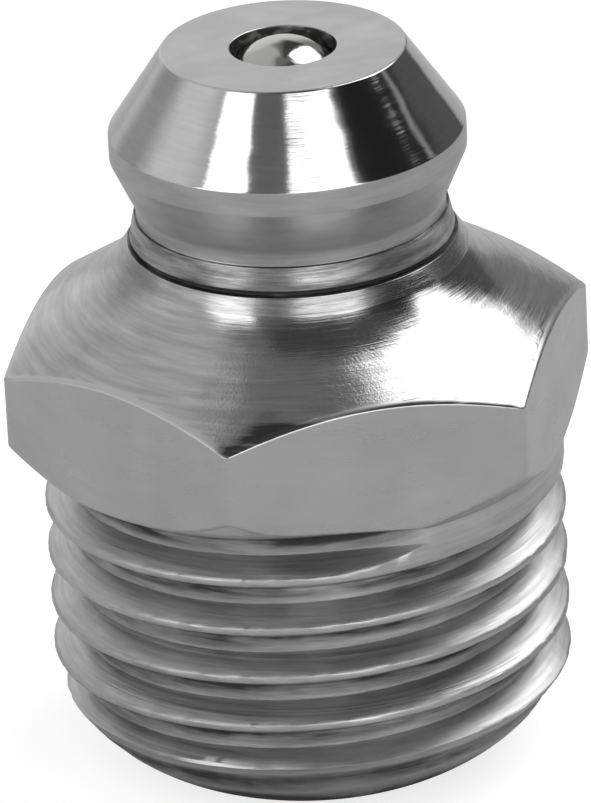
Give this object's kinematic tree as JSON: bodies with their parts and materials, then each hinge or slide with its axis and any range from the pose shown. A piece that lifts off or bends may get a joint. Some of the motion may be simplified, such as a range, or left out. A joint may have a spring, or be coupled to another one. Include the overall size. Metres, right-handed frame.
{
  "type": "grease nipple",
  "caption": "Straight grease nipple with a conical head, a hexagon and a fine male thread; a sprung ball closes the inlet.",
  "frame": {"origin": "centre of the flat end face below the thread", "axes": "+Z along the nipple's axis towards its head; two of the six flats face -Y and +Y"},
  "size_m": [0.0116, 0.01, 0.0144],
  "materials": {
    "plated_steel": "bright zinc plating over turned steel",
    "ball_steel": "polished",
    "spring_steel": "drawn wire"
  },
  "bodies": {
    "nipple": {"body": "plated_steel", "ball_spring": "spring_steel"},
    "ball": {"check_ball": "ball_steel"}
  },
  "joints": [
    {"name": "ball_slide", "type": "slide", "parent": "nipple", "child": "ball", "axis": [0, 0, -1], "range_m": [0, 0.007], "stiffness_N_per_m": 2020, "springref_m": -0.0009, "deforming": ["ball_spring"]}
  ]
}
